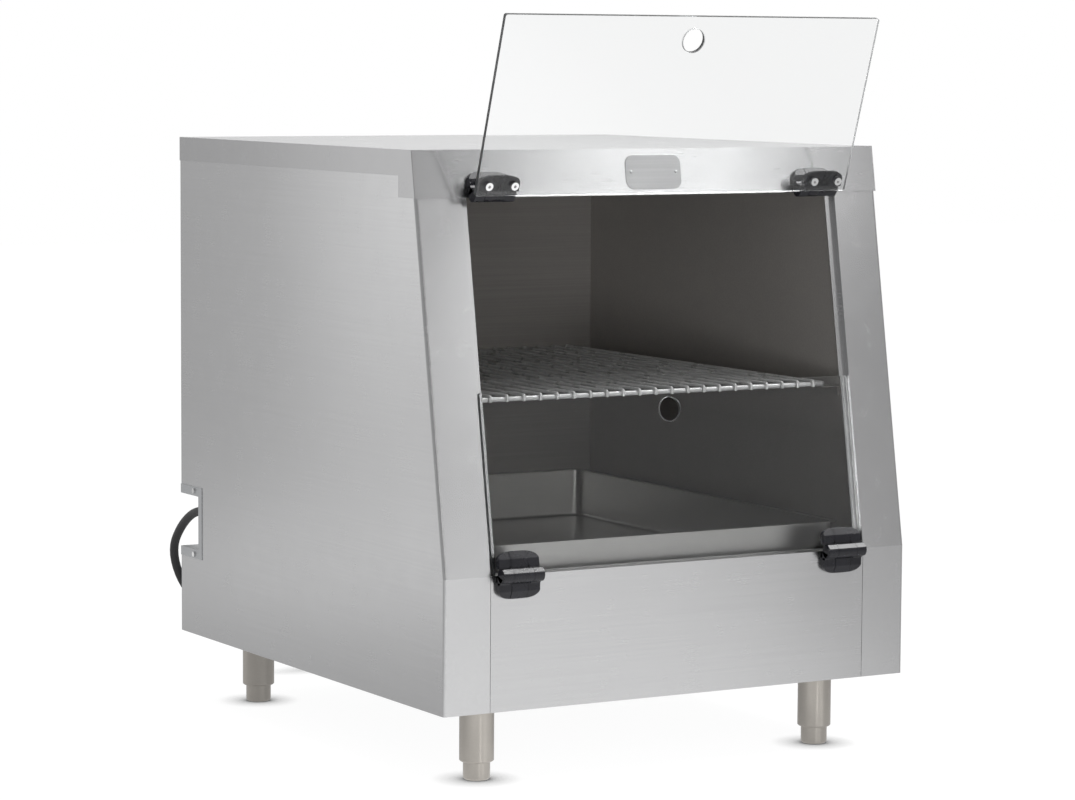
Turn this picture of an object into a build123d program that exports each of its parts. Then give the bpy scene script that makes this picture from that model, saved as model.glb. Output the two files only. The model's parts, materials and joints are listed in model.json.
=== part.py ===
from build123d import *
import math
import os

# A countertop heated holding cabinet: brushed sheet metal body on four legs, two clear
# friction-hinged doors in a sloped front, a wire shelf and a pan inside, heat from below.
# Millimetres, +X to the right, front towards -Y, +Z up, feet on z = 0, the origin under
# the middle of the whole object.

# Body
body_width = 720.0
body_depth = 806.0
body_height = 724.0
leg_height = 101.6
bend_height = 178.0
front_recess = 92.0
sheet = 1.2
bend_radius = 4.5

# Front posts and door opening
post_width = 68.0
jamb_depth = 8.0
lip_width = 11.0
seam_gap = 0.6
touching = 0.01
rear_flange_width = 16.0
header_depth = 12.0

# Cap
cap_side_height = 34.0
fascia_height = 62.0
fascia_return = 46.0
fascia_bend_radius = 1.1

# Base, back panel and their fixings
base_flange = 22.0
vent_slots = 6
vent_length = 60.0
vent_width = 5.0
vent_pitch = 12.0
vent_height = 96.0
vent_x = -60.0
rear_screw_inset = 8.0
rear_screw_rows = 4
rear_screw_end = 60.0
small_screw_radius = 1.9
small_head_radius = 3.8
small_head_height = 2.2
small_bite = 6.0

# Lining
wall_gap = 59.0
liner_sheet = 1.0
liner_flange = 13.0
floor_height = 140.0
ceiling_gap = 50.0
back_gap = 62.0
return_depth = 26.0
slot_columns = 8
slot_pitch = 60.0
slot_length = 40.0
slot_width = 6.0
front_slot_setback = 36.0
rear_slot_setback = 6.0
lagging_depth = 30.0

# Doors
door_thickness = 6.0
door_side_gap = 4.0
door_end_gap = 3.0
door_meeting_gap = 6.0
door_meeting = 240.0
door_corner = 3.0
finger_hole_radius = 16.0
finger_hole_inset = 33.0
finger_hole_chamfer = 0.8
upper_door_degrees = 152.0
upper_door_drop = 4.5

# Hinges
hinge_inset = 107.0
leaf_width = 60.0
leaf_side = 20.0
leaf_reach = 32.0
leaf_thickness = 8.5
leaf_bevel = 4.0
leaf_bevel_run = 6.4
axis_height = 12.0
axis_rise = 2.0
barrel_radius = 9.5
barrel_clearance = 0.8
knuckle_width = 30.0
knuckle_gap = 0.4
web_overlap = 7.0
web_degrees = 60.0
pin_radius = 3.0
pin_fit = 0.05
pin_recess = 0.5
cap_width = 24.0
cap_gap = 0.25
cap_depth = 2.5
cap_margin_in = 3.0
cap_margin_out = 2.0
hinge_screw_spacing = 38.0
hinge_screw_reach = 19.0
fixed_screw_spacing = 12.0
screw_radius = 2.5
screw_head_radius = 5.5
screw_head_height = 4.0
screw_fit = 0.3
screw_bite = 6.0
socket_size = 4.0
socket_depth = 2.4

# Legs
leg_radius = 23.0
leg_wall = 2.0
leg_chamfer = 1.5
leg_insert_height = 18.0
foot_radius = 18.0
foot_height = 24.0
foot_chamfer = 2.0
foot_stem_radius = 8.0
foot_stem_top = 64.0
foot_fit = 0.5
leg_inset_x = 92.0
leg_inset_front = 78.0
leg_inset_rear = 68.0
plate_size = 82.0
plate_corner = 8.0
plate_thickness = 3.0
plate_bolt_spacing = 62.0
bolt_radius = 3.0
bolt_head_across = 10.0
bolt_head_height = 4.0
clinch_nut_radius = 5.5
clinch_nut_height = 5.0

# Wire shelf and its supports
shelf_height = 398.0
shelf_front_setback = 40.0
rail_radius = 3.3
rail_bend = 8.0
cross_rails = 2
cross_radius = 2.8
wire_radius = 2.2
wire_pitch = 25.4
wire_sink = 0.8
wire_bend = 3.0
support_width = 28.0
support_drop = 14.0
support_sheet = 1.5
shelf_side_gap = 2.0
shelf_back_gap = 6.0

# Pan
pan_height = 71.0
pan_front_setback = 45.0
pan_back_gap = 10.0
pan_sheet = 1.0
pan_corner = 12.0
pan_rim = 7.0
running_gap = 0.5

# Cord recess at the rear left corner
notch_depth = 62.0
notch_bottom = 124.0
notch_top = 205.0
recess_width = 56.0
recess_sheet = 1.0
recess_flange = 12.0
recess_front_flange = 10.0
recess_fit = 0.3
recess_screw_setback = 46.5
gland_clearance = 22.0

# Cord
cord_radius = 6.5
gland_inset_x = 35.0
gland_height = 176.0
gland_length = 32.0
gland_base_radius = 12.0
gland_tip_radius = 8.0
gland_collar_radius = 14.0
gland_collar_length = 6.0
gland_thread_radius = 8.0
gland_nut_length = 6.0
corner_share = 0.45
coil_mid_radius = 66.0
coil_pitch = 14.2
coil_lead_in = 13.0
coil_lead_out = 72.0
plug_relief_length = 26.0
plug_relief_radius = 9.0
plug_radius = 19.0
plug_length = 34.0
plug_edge = 4.0
blade_spacing = 12.7
blade_width = 6.3
blade_thickness = 1.5
blade_length = 17.0
ground_pin_radius = 2.4
ground_pin_length = 20.0
ground_pin_offset = 11.9

# Heater and controls
element_radius = 4.0
element_height = 62.0
element_reach_x = 200.0
element_front = 150.0
element_pitch = 150.0
element_rows = 4
element_fit = 0.05
bracket_x = 120.0
bracket_foot = 14.0
bracket_sheet = 2.0
bracket_overhang = 16.0
bracket_rise = 8.0
control_height = 72.0
control_inset = 170.0
thermostat_width = 40.0
thermostat_height = 34.0
thermostat_depth = 34.0
bulb_radius = 4.0
bulb_length = 80.0
bulb_setback = 74.0
bulb_gap = 0.2
capillary_radius = 1.5
knob_radius = 19.0
knob_height = 18.0
knob_gap = 1.0
knob_edge = 2.0
knob_mark_width = 2.0
knob_mark_depth = 0.8
shaft_radius = 3.0
shaft_length = 12.0
switch_inset = 240.0
switch_width = 30.0
switch_height = 24.0
switch_bezel = 2.0
switch_frame = 2.5
switch_depth = 22.0
rocker_width = 19.0
rocker_half_height = 6.5
rocker_rise = 3.0
rocker_dip = 1.6
rocker_root = 5.0
rocker_gap = 1.2
rocker_degrees = 9.0
terminal_inset = 175.0
terminal_setback = 150.0
terminal_width = 52.0
terminal_depth = 22.0
terminal_height = 16.0
terminal_screws = 3
terminal_pitch = 15.0
terminal_hole_radius = 3.0
terminal_hole_depth = 5.0

# Places worked out from the sizes
slope = math.degrees(math.atan2(front_recess, body_height - bend_height))
sin_slope = math.sin(math.radians(slope))
cos_slope = math.cos(math.radians(slope))
tan_half = math.tan(math.radians(slope) / 2)

left_x = -body_width / 2
base_z = leg_height
top_z = base_z + body_height
bend_z = base_z + bend_height
hinge_front = axis_height + barrel_radius
knob_front = knob_gap + knob_height
front_y = hinge_front - (hinge_front + body_depth + knob_front) / 2
back_y = front_y + body_depth
fascia_start = (body_height - fascia_height - bend_height) / cos_slope
opening_half = body_width / 2 - post_width
door_half = opening_half - door_side_gap
liner_half = body_width / 2 - sheet - wall_gap + liner_sheet
wall_face = liner_half - liner_sheet
liner_back_y = back_y - back_gap
floor_z = base_z + floor_height
ceiling_z = top_z - ceiling_gap
fascia_bottom_z = top_z - fascia_height
hinge_x = body_width / 2 - hinge_inset
notch_front_y = back_y - notch_depth
notch_low_z = base_z + notch_bottom
notch_high_z = base_z + notch_top
control_x = body_width / 2 - control_inset
switch_x = body_width / 2 - switch_inset
control_z = base_z + control_height


def finish(piece, name):
    """Label one finished piece and write its file."""
    piece.part.label = name
    export_step(piece.part, f"parts/{name}.step")


def front_at(depth, z):
    """Y of the surface that lies `depth` behind the front, at height z."""
    if z <= bend_z - depth * tan_half:
        return front_y + depth
    return front_y + (depth + (z - bend_z) * sin_slope) / cos_slope


def front_line(depth, z_low, z_high):
    """Points up the surface `depth` behind the front, from z_low to z_high."""
    points = [(front_at(depth, z_low), z_low)]
    z_turn = bend_z - depth * tan_half
    if z_low < z_turn < z_high:
        points.append((front_y + depth, z_turn))
    points.append((front_at(depth, z_high), z_high))
    return points


def strip(outer, inner, z_low, z_high):
    """Outline between two surfaces behind the front."""
    return front_line(outer, z_low, z_high) + front_line(inner, z_low, z_high)[::-1]


def side_sheet(x_one, x_two, outline):
    """A flat piece with its outline seen from the side, between two x places."""
    with BuildPart() as piece:
        with BuildSketch(Plane.YZ.offset(min(x_one, x_two))):
            with BuildLine():
                Polyline(*outline, close=True)
            make_face()
        extrude(amount=abs(x_two - x_one))
    return piece


def block(x_one, x_two, y_one, y_two, z_one, z_two, mode=Mode.ADD):
    """A plain block between six planes, for use inside a part's own block."""
    with Locations(((x_one + x_two) / 2, (y_one + y_two) / 2, (z_one + z_two) / 2)):
        Box(abs(x_two - x_one), abs(y_two - y_one), abs(z_two - z_one), mode=mode)


def rod(start, end, radius, mode=Mode.ADD):
    """A straight round rod between two points, inside a part's own block."""
    start = Vector(*start)
    run = Vector(*end) - start
    with BuildSketch(Plane(origin=start, z_dir=run)) as section:
        Circle(radius)
    extrude(section.sketch, amount=run.length, mode=mode)


def turned(plane, degrees):
    """The plane turned about its own x axis."""
    return plane.rotated((degrees, 0, 0))


def reversed_up(plane):
    """The same mounting face with y pointing the other way."""
    return Plane(origin=plane.origin, x_dir=-plane.x_dir, z_dir=plane.z_dir)


def across(plane, x):
    """Section plane across a hinge axis: x away from the axis, y outward."""
    place = plane.from_local_coords(Vector(x, 0, 0))
    return Plane(origin=place, x_dir=plane.y_dir, z_dir=plane.x_dir)


# Planes that the doors and hinges are drawn on: the origin lies on the hinge axis
slope_plane = Plane(
    origin=(0, front_y, bend_z), x_dir=(1, 0, 0), z_dir=(0, -cos_slope, sin_slope)
)
upper_axis = fascia_start + axis_rise
upper_axis_plane = Plane(
    origin=slope_plane.from_local_coords(Vector(0, upper_axis, axis_height)),
    x_dir=(1, 0, 0),
    z_dir=slope_plane.z_dir,
)
upper_door_plane = turned(upper_axis_plane, -upper_door_degrees)
lower_axis = -axis_height * tan_half
lower_axis_plane = Plane(
    origin=slope_plane.from_local_coords(Vector(0, lower_axis, axis_height)),
    x_dir=(1, 0, 0),
    z_dir=slope_plane.z_dir,
)
lower_fixed_plane = Plane(
    origin=lower_axis_plane.origin, x_dir=(1, 0, 0), z_dir=(0, -1, 0)
)
fixed_screw_xs = [
    side * hinge_x + half * fixed_screw_spacing / 2 for side in (-1, 1) for half in (-1, 1)
]
door_screw_xs = [
    side * hinge_x + half * hinge_screw_spacing / 2 for side in (-1, 1) for half in (-1, 1)
]
rear_screw_step = (body_height - 2 * rear_screw_end) / (rear_screw_rows - 1)
rear_screw_places = [
    (side * (body_width / 2 - rear_screw_inset), base_z + rear_screw_end + n * rear_screw_step)
    for side in (-1, 1)
    for n in range(rear_screw_rows)
]
back_plane = Plane(origin=(0, back_y, 0), x_dir=(1, 0, 0), z_dir=(0, -1, 0))
recess_screw_y = back_y - recess_screw_setback
recess_screw_zs = (notch_high_z + recess_flange / 2, notch_low_z - recess_flange / 2)

os.makedirs("parts", exist_ok=True)


# Side panels: one sheet each, folded round the front as a post, with a rebated jamb
def make_side_panel(side):
    """One side panel, folded into its front post, jamb and lip."""
    outer = side * body_width / 2
    post_edge = side * opening_half
    jamb = post_edge + side * sheet
    lip = post_edge - side * lip_width
    rear_edge = outer - side * rear_flange_width
    z_top = top_z - sheet
    outline = front_line(0, base_z, z_top) + [(back_y - sheet, z_top), (back_y - sheet, base_z)]
    with BuildPart() as panel:
        add(side_sheet(outer, outer - side * sheet, outline).part)
        add(side_sheet(outer, post_edge, strip(0, sheet, base_z, z_top)).part)
        add(side_sheet(jamb, post_edge, strip(0, jamb_depth, bend_z, fascia_bottom_z)).part)
        rebate = strip(jamb_depth, jamb_depth + sheet, bend_z, fascia_bottom_z)
        add(side_sheet(jamb, lip, rebate).part)
        block(outer, rear_edge, back_y - 2 * sheet, back_y - sheet, base_z, z_top)
        for depth, radius in ((sheet, bend_radius - sheet), (0, bend_radius)):
            corner = panel.edges().filter_by(
                lambda e: abs(e.center().X - outer + side * depth) < touching
                and abs(e.center().Y - front_at(depth, e.center().Z)) < touching
            )
            fillet(corner, radius=radius)
        with BuildSketch(back_plane):
            with Locations(*rear_screw_places):
                Circle(small_screw_radius + screw_fit)
        extrude(amount=3 * sheet, mode=Mode.SUBTRACT)
    return panel


with BuildPart() as left_side_panel:
    add(make_side_panel(-1).part)
    block(
        left_x - sheet,
        left_x + rear_flange_width + sheet,
        notch_front_y,
        back_y,
        notch_low_z,
        notch_high_z,
        mode=Mode.SUBTRACT,
    )
    for z in recess_screw_zs:
        rod(
            (left_x - sheet, recess_screw_y, z),
            (left_x + 2 * sheet, recess_screw_y, z),
            small_screw_radius + screw_fit,
            mode=Mode.SUBTRACT,
        )
finish(left_side_panel, "left_side_panel")
right_side_panel = make_side_panel(1)
finish(right_side_panel, "right_side_panel")

# Top cap: plate, side flanges, sloped fascia with side returns and a header folded inward
cap_half = body_width / 2 + sheet
cap_front_y = front_at(-sheet, top_z)
return_back_y = front_at(-sheet, fascia_bottom_z) + fascia_return
cap_side = [
    (cap_front_y, top_z),
    (back_y, top_z),
    (back_y, top_z - cap_side_height),
    (return_back_y, top_z - cap_side_height),
    (return_back_y, fascia_bottom_z),
    (front_at(-sheet, fascia_bottom_z), fascia_bottom_z),
]
with BuildPart() as top_cap:
    block(-cap_half, cap_half, cap_front_y, back_y, top_z - sheet, top_z)
    add(side_sheet(-cap_half, -body_width / 2, cap_side).part)
    add(side_sheet(body_width / 2, cap_half, cap_side).part)
    add(side_sheet(-cap_half, cap_half, strip(-sheet, 0, fascia_bottom_z, top_z)).part)
    header = strip(-sheet, header_depth, fascia_bottom_z, fascia_bottom_z + sheet)
    add(side_sheet(-opening_half + seam_gap, opening_half - seam_gap, header).part)
    front_edges = top_cap.edges().filter_by(
        lambda e: abs(abs(e.center().X) - cap_half) < touching
        and abs(e.center().Y - front_at(-sheet, e.center().Z)) < touching
    )
    fillet(front_edges, radius=fascia_bend_radius)
    with BuildSketch(upper_axis_plane):
        with Locations(*[(x, hinge_screw_reach) for x in fixed_screw_xs]):
            Circle(small_screw_radius + screw_fit)
    extrude(amount=-axis_height - sheet, mode=Mode.SUBTRACT)
finish(top_cap, "top_cap")

# Base panel: a shallow tray with flanges up inside the body and clinch nuts for the legs
base_half = body_width / 2 - sheet
base_front = front_y + sheet
base_back = back_y - 2 * sheet
leg_places = {
    f"{end}_{side}": (x, y)
    for side, x in (("left", left_x + leg_inset_x), ("right", -left_x - leg_inset_x))
    for end, y in (("front", front_y + leg_inset_front), ("rear", back_y - leg_inset_rear))
}
base_middle = (base_front + base_back) / 2
base_length = base_back - base_front
with BuildPart() as base_panel:
    with BuildSketch(Plane.XY.offset(base_z)):
        with Locations((0, base_middle)):
            RectangleRounded(2 * base_half, base_length, bend_radius)
    extrude(amount=base_flange)
    with BuildSketch(Plane.XY.offset(base_z + sheet)):
        with Locations((0, base_middle)):
            RectangleRounded(2 * base_half - 2 * sheet, base_length - 2 * sheet, bend_radius - sheet)
    extrude(amount=base_flange, mode=Mode.SUBTRACT)
    with BuildSketch(Plane.XY.offset(base_z)):
        with Locations(*leg_places.values()):
            with GridLocations(plate_bolt_spacing, plate_bolt_spacing, 2, 2):
                Circle(clinch_nut_radius)
    extrude(amount=sheet + clinch_nut_height)
    with BuildSketch(Plane.XY.offset(base_z)):
        with Locations(*leg_places.values()):
            with GridLocations(plate_bolt_spacing, plate_bolt_spacing, 2, 2):
                Circle(bolt_radius + screw_fit)
    extrude(amount=sheet + clinch_nut_height, mode=Mode.SUBTRACT)
finish(base_panel, "base_panel")

# Lower front panel: flat front, top return and a fold down to the liner floor
panel_half = opening_half - seam_gap
fold_y = front_y + return_depth
with BuildPart() as lower_front_panel:
    block(-panel_half, panel_half, front_y, front_y + sheet, base_z, bend_z)
    block(-panel_half, panel_half, front_y, fold_y, bend_z - sheet, bend_z)
    block(-panel_half, panel_half, fold_y - sheet, fold_y, floor_z, bend_z)
    with BuildSketch(lower_fixed_plane):
        with Locations(*[(x, -hinge_screw_reach) for x in fixed_screw_xs]):
            Circle(small_screw_radius + screw_fit)
    extrude(amount=-axis_height - 2 * sheet, mode=Mode.SUBTRACT)
finish(lower_front_panel, "lower_front_panel")

# Back panel: closes the rear, cut out round the cord recess
with BuildPart() as back_panel:
    block(left_x, -left_x, back_y - sheet, back_y, base_z, top_z - sheet)
    block(
        left_x - sheet,
        left_x + recess_width + recess_fit,
        back_y - 2 * sheet,
        back_y + sheet,
        notch_low_z,
        notch_high_z,
        mode=Mode.SUBTRACT,
    )
    with BuildSketch(back_plane):
        with Locations((control_x, control_z)):
            Circle(shaft_radius + screw_fit)
        with Locations((switch_x, control_z)):
            Rectangle(switch_width - 2 * switch_frame, switch_height - 2 * switch_frame)
        with Locations(*rear_screw_places):
            Circle(small_screw_radius + screw_fit)
        with Locations((vent_x, base_z + vent_height)):
            with GridLocations(0, vent_pitch, 1, vent_slots):
                SlotOverall(vent_length, vent_width)
    extrude(amount=sheet, mode=Mode.SUBTRACT)
finish(back_panel, "back_panel")

# Lining of the heated space: each side wall has a flange behind the jamb
flange_depth = jamb_depth + sheet
wall_outline = front_line(flange_depth, floor_z, ceiling_z) + [
    (liner_back_y, ceiling_z),
    (liner_back_y, floor_z),
]
flange_outline = strip(flange_depth, flange_depth + liner_sheet, bend_z, fascia_bottom_z)


def make_liner_wall(side):
    """One inner side wall with its front flange."""
    with BuildPart() as wall:
        add(side_sheet(side * liner_half, side * wall_face, wall_outline).part)
        flange_edge = side * (liner_half - liner_flange)
        add(side_sheet(side * liner_half, flange_edge, flange_outline).part)
    return wall


left_liner = make_liner_wall(-1)
finish(left_liner, "left_liner_wall")
right_liner = make_liner_wall(1)
finish(right_liner, "right_liner_wall")

with BuildPart() as back_liner:
    block(
        -liner_half,
        liner_half,
        liner_back_y,
        liner_back_y + liner_sheet,
        floor_z - liner_sheet,
        ceiling_z,
    )
finish(back_liner, "back_liner_wall")

with BuildPart() as liner_ceiling:
    block(
        -base_half,
        base_half,
        front_at(bend_radius, ceiling_z + liner_sheet),
        base_back,
        ceiling_z,
        ceiling_z + liner_sheet,
    )
finish(liner_ceiling, "liner_ceiling")

with BuildPart() as liner_floor:
    floor_front = front_y + bend_radius
    block(-base_half, base_half, floor_front, liner_back_y, floor_z - liner_sheet, floor_z)
    with BuildSketch(Plane.XY.offset(floor_z)):
        for y in (front_y + front_slot_setback, liner_back_y - rear_slot_setback):
            with Locations((0, y)):
                with GridLocations(slot_pitch, 0, slot_columns, 1):
                    SlotOverall(slot_length, slot_width)
    extrude(amount=-liner_sheet, mode=Mode.SUBTRACT)
finish(liner_floor, "liner_floor")

# Insulation between the skins; the left one leaves room for the gland behind the recess
lagging_front = front_line(lagging_depth, floor_z, ceiling_z)
recess_top = notch_high_z + recess_flange
right_lagging = lagging_front + [(liner_back_y, ceiling_z), (liner_back_y, floor_z)]
left_lagging = lagging_front + [
    (liner_back_y, ceiling_z),
    (liner_back_y, recess_top),
    (notch_front_y - gland_clearance, recess_top),
    (notch_front_y - gland_clearance, floor_z),
]
left_insulation = side_sheet(-base_half, -liner_half, left_lagging)
finish(left_insulation, "left_insulation")
right_insulation = side_sheet(liner_half, base_half, right_lagging)
finish(right_insulation, "right_insulation")

rear_lagging_half = base_half - rear_flange_width
with BuildPart() as back_insulation:
    block(
        -rear_lagging_half,
        rear_lagging_half,
        liner_back_y + liner_sheet,
        back_y - sheet,
        recess_top,
        ceiling_z,
    )
finish(back_insulation, "back_insulation")

with BuildPart() as top_insulation:
    block(
        -base_half,
        base_half,
        front_at(lagging_depth, top_z),
        base_back,
        ceiling_z + liner_sheet,
        top_z - sheet,
    )
finish(top_insulation, "top_insulation")

# Shelf supports: an angle along each liner wall
shelf_z = base_z + shelf_height
shelf_front_y = front_at(shelf_front_setback, shelf_z)
shelf_back_y = liner_back_y - shelf_back_gap - rail_radius
support_top = shelf_z - rail_radius - running_gap


def make_support(side):
    """One angle that carries the wire shelf."""
    wall = side * wall_face
    shelf_edge = wall - side * support_width
    wall_leg = wall - side * support_sheet
    with BuildPart() as support:
        block(wall, shelf_edge, shelf_front_y, liner_back_y, support_top - support_sheet, support_top)
        block(wall, wall_leg, shelf_front_y, liner_back_y, support_top - support_drop, support_top)
    return support


left_support = make_support(-1)
finish(left_support, "left_shelf_support")
right_support = make_support(1)
finish(right_support, "right_shelf_support")

# Wire shelf: side rails, cross rails, and wires front to back that turn down in front
clear_half = opening_half - lip_width - shelf_side_gap
shelf_half = clear_half - rail_radius
wire_reach = int((shelf_half - rail_bend - wire_radius) / wire_pitch)
wire_xs = [n * wire_pitch for n in range(-wire_reach, wire_reach + 1)]
wire_z = shelf_z + rail_radius + wire_radius - wire_sink
wire_front_y = shelf_front_y - rail_radius - wire_radius + wire_sink
frame_corners = [
    (-shelf_half, shelf_front_y, shelf_z),
    (shelf_half, shelf_front_y, shelf_z),
    (shelf_half, shelf_back_y, shelf_z),
    (-shelf_half, shelf_back_y, shelf_z),
]
with BuildPart() as wire_shelf:
    with BuildLine() as frame_line:
        FilletPolyline(*frame_corners, radius=rail_bend, close=True)
    frame_wire = frame_line.wire()
    with BuildSketch(Plane(origin=frame_wire @ 0, z_dir=frame_wire % 0)):
        Circle(rail_radius)
    sweep()
    for n in range(1, cross_rails + 1):
        y = shelf_front_y + (shelf_back_y - shelf_front_y) * n / (cross_rails + 1)
        rod((-shelf_half, y, shelf_z), (shelf_half, y, shelf_z), cross_radius)
    for x in wire_xs:
        with BuildLine() as wire_line:
            FilletPolyline(
                (x, shelf_back_y + rail_radius, wire_z),
                (x, wire_front_y, wire_z),
                (x, wire_front_y, shelf_z - rail_radius),
                radius=wire_bend,
            )
        with BuildSketch(Plane(origin=wire_line.wire() @ 0, z_dir=wire_line.wire() % 0)):
            Circle(wire_radius)
        sweep(path=wire_line.wire())
finish(wire_shelf, "wire_shelf")

# Pan: drawn tray with rounded corners and a turned-out rim
pan_half = clear_half - pan_rim
pan_low = floor_z + running_gap
pan_front = front_y + pan_front_setback
pan_back = liner_back_y - pan_back_gap
pan_mid = (pan_front + pan_back) / 2
with BuildPart() as chip_pan:
    with BuildSketch(Plane.XY.offset(pan_low)):
        with Locations((0, pan_mid)):
            RectangleRounded(2 * pan_half, pan_back - pan_front, pan_corner)
    extrude(amount=pan_height)
    fillet(chip_pan.edges().group_by(Axis.Z)[0], radius=pan_corner / 2)
    offset(amount=-pan_sheet, openings=chip_pan.faces().sort_by(Axis.Z)[-1])
    with BuildSketch(Plane.XY.offset(pan_low + pan_height - pan_sheet)):
        with Locations((0, pan_mid)):
            RectangleRounded(
                2 * (pan_half + pan_rim), pan_back - pan_front + 2 * pan_rim, pan_corner + pan_rim
            )
            RectangleRounded(
                2 * (pan_half - pan_sheet),
                pan_back - pan_front - 2 * pan_sheet,
                pan_corner - pan_sheet,
                mode=Mode.SUBTRACT,
            )
    extrude(amount=pan_sheet)
finish(chip_pan, "chip_pan")


# Doors: clear sheets with a finger hole near the free edge and holes for the hinge screws
def make_door(plane, hinge_edge, free_edge):
    """A door on a plane whose x axis is the hinge axis; its two edges are given in y."""
    towards = 1 if free_edge > hinge_edge else -1
    with BuildPart() as door:
        with BuildSketch(plane.offset(-axis_height - door_thickness)):
            with Locations((0, (hinge_edge + free_edge) / 2)):
                RectangleRounded(2 * door_half, abs(free_edge - hinge_edge), door_corner)
            with Locations((0, free_edge - towards * finger_hole_inset)):
                Circle(finger_hole_radius, mode=Mode.SUBTRACT)
            with Locations(*[(x, towards * hinge_screw_reach) for x in door_screw_xs]):
                Circle(screw_radius + screw_fit, mode=Mode.SUBTRACT)
        extrude(amount=door_thickness)
        hole_rims = door.edges().filter_by(
            lambda e: e.geom_type == GeomType.CIRCLE and abs(e.radius - finger_hole_radius) < touching
        )
        chamfer(hole_rims, length=finger_hole_chamfer)
    return door


lower_door = make_door(
    lower_axis_plane,
    door_end_gap - lower_axis,
    door_meeting - door_meeting_gap / 2 - lower_axis,
)
finish(lower_door, "lower_door")
upper_door = make_door(
    upper_door_plane, -upper_door_drop, door_meeting + door_meeting_gap / 2 - upper_axis
)
finish(upper_door, "upper_door")

# Hinges: moulded leaves with arched ends and bevelled edges, a thick barrel, inset caps.
# Each leaf is drawn with its mounting face below the axis and y pointing away from the axis.
leaf_top = leaf_thickness - axis_height
leaf_start = math.sqrt((barrel_radius + barrel_clearance) ** 2 - leaf_top**2)
cap_start = leaf_start + cap_margin_in
cap_end = leaf_reach - cap_margin_out
cap_middle = (cap_start + cap_end) / 2
cap_floor = leaf_top - cap_depth
web_angle = math.radians(web_degrees)
moving_knuckles = [(-knuckle_width / 2, knuckle_width / 2)]
fixed_knuckles = [
    (-leaf_width / 2, -knuckle_width / 2 - knuckle_gap),
    (knuckle_width / 2 + knuckle_gap, leaf_width / 2),
]

with BuildSketch() as leaf_profile:
    Circle(barrel_radius)
    with BuildLine():
        Polyline(
            (0, -barrel_radius),
            (leaf_start + web_overlap, -barrel_radius),
            (leaf_start + web_overlap, leaf_top),
            (barrel_radius * math.cos(web_angle), barrel_radius * math.sin(web_angle)),
            (0, 0),
            close=True,
        )
    make_face()


def leaf_blank(plane, x, face):
    """Solid leaf before its bores, pockets and holes. `face` is the local z of the mount."""
    with BuildPart() as blank:
        with BuildSketch(plane.offset(face)):
            with BuildLine():
                Polyline(
                    (x - leaf_width / 2, leaf_side),
                    (x - leaf_width / 2, leaf_start),
                    (x + leaf_width / 2, leaf_start),
                    (x + leaf_width / 2, leaf_side),
                )
                ThreePointArc(
                    (x + leaf_width / 2, leaf_side), (x, leaf_reach), (x - leaf_width / 2, leaf_side)
                )
            make_face()
        extrude(amount=leaf_top - face)
        arch = blank.edges().filter_by(GeomType.CIRCLE)
        arch = arch.sort_by(lambda e: plane.to_local_coords(e.center()).Z)[-1]
        top_face = blank.faces().sort_by(lambda f: plane.to_local_coords(f.center()).Z)[-1]
        chamfer(arch, length=leaf_bevel_run, length2=leaf_bevel, reference=top_face)
    return blank


def make_leaf(plane, side, face, knuckles):
    """One leaf with its knuckles, pin bore and cap pocket."""
    x = side * hinge_x * plane.x_dir.X
    with BuildPart() as leaf:
        add(leaf_blank(plane, x, face).part)
        for start, end in knuckles:
            with BuildSketch(across(plane, x + start)):
                add(leaf_profile.sketch)
            extrude(amount=end - start)
        with BuildSketch(across(plane, x - leaf_width)):
            Circle(pin_radius + pin_fit)
        extrude(amount=2 * leaf_width, mode=Mode.SUBTRACT)
        with BuildSketch(plane.offset(cap_floor)):
            with Locations((x, cap_middle)):
                Rectangle(cap_width + 2 * cap_gap, cap_end - cap_start + 2 * cap_gap)
        extrude(amount=2 * cap_depth, mode=Mode.SUBTRACT)
    return leaf


def make_fixed_leaf(plane, side, face):
    """A leaf on the body, with two countersunk holes under its cap."""
    x = side * hinge_x * plane.x_dir.X
    with BuildPart() as leaf:
        add(make_leaf(plane, side, face, fixed_knuckles).part)
        with BuildSketch(plane.offset(face)):
            with Locations((x, hinge_screw_reach)):
                with GridLocations(fixed_screw_spacing, 0, 2, 1):
                    Circle(small_screw_radius + screw_fit)
        extrude(amount=cap_floor - face, mode=Mode.SUBTRACT)
        with BuildSketch(plane.offset(cap_floor - small_head_height)):
            with Locations((x, hinge_screw_reach)):
                with GridLocations(fixed_screw_spacing, 0, 2, 1):
                    Circle(small_head_radius + screw_fit)
        extrude(amount=small_head_height, mode=Mode.SUBTRACT)
    return leaf


def make_moving_leaf(plane, side):
    """A leaf on a door, with two blind holes for the door screws."""
    x = side * hinge_x * plane.x_dir.X
    with BuildPart() as leaf:
        add(make_leaf(plane, side, -axis_height, moving_knuckles).part)
        with BuildSketch(plane.offset(-axis_height)):
            with Locations((x, hinge_screw_reach)):
                with GridLocations(hinge_screw_spacing, 0, 2, 1):
                    Circle(screw_radius + screw_fit)
        extrude(amount=screw_bite, mode=Mode.SUBTRACT)
    return leaf


def make_caps(plane, face):
    """The two caps of one row of leaves, cut from the same blank as the leaves."""
    both = leaf_blank(plane, hinge_x, face).part + leaf_blank(plane, -hinge_x, face).part
    with BuildPart() as caps:
        for side in (-1, 1):
            x = side * hinge_x * plane.x_dir.X
            with BuildSketch(plane.offset(cap_floor)):
                with Locations((x, cap_middle)):
                    Rectangle(cap_width, cap_end - cap_start)
        extrude(amount=2 * cap_depth)
        add(both, mode=Mode.INTERSECT)
    return caps


def make_pins(plane):
    """The two pins of one door, a little shorter than the barrels."""
    half = leaf_width / 2 - pin_recess
    with BuildPart() as pins:
        for side in (-1, 1):
            with BuildSketch(across(plane, side * hinge_x - half)):
                Circle(pin_radius)
            extrude(amount=2 * half)
    return pins


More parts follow.
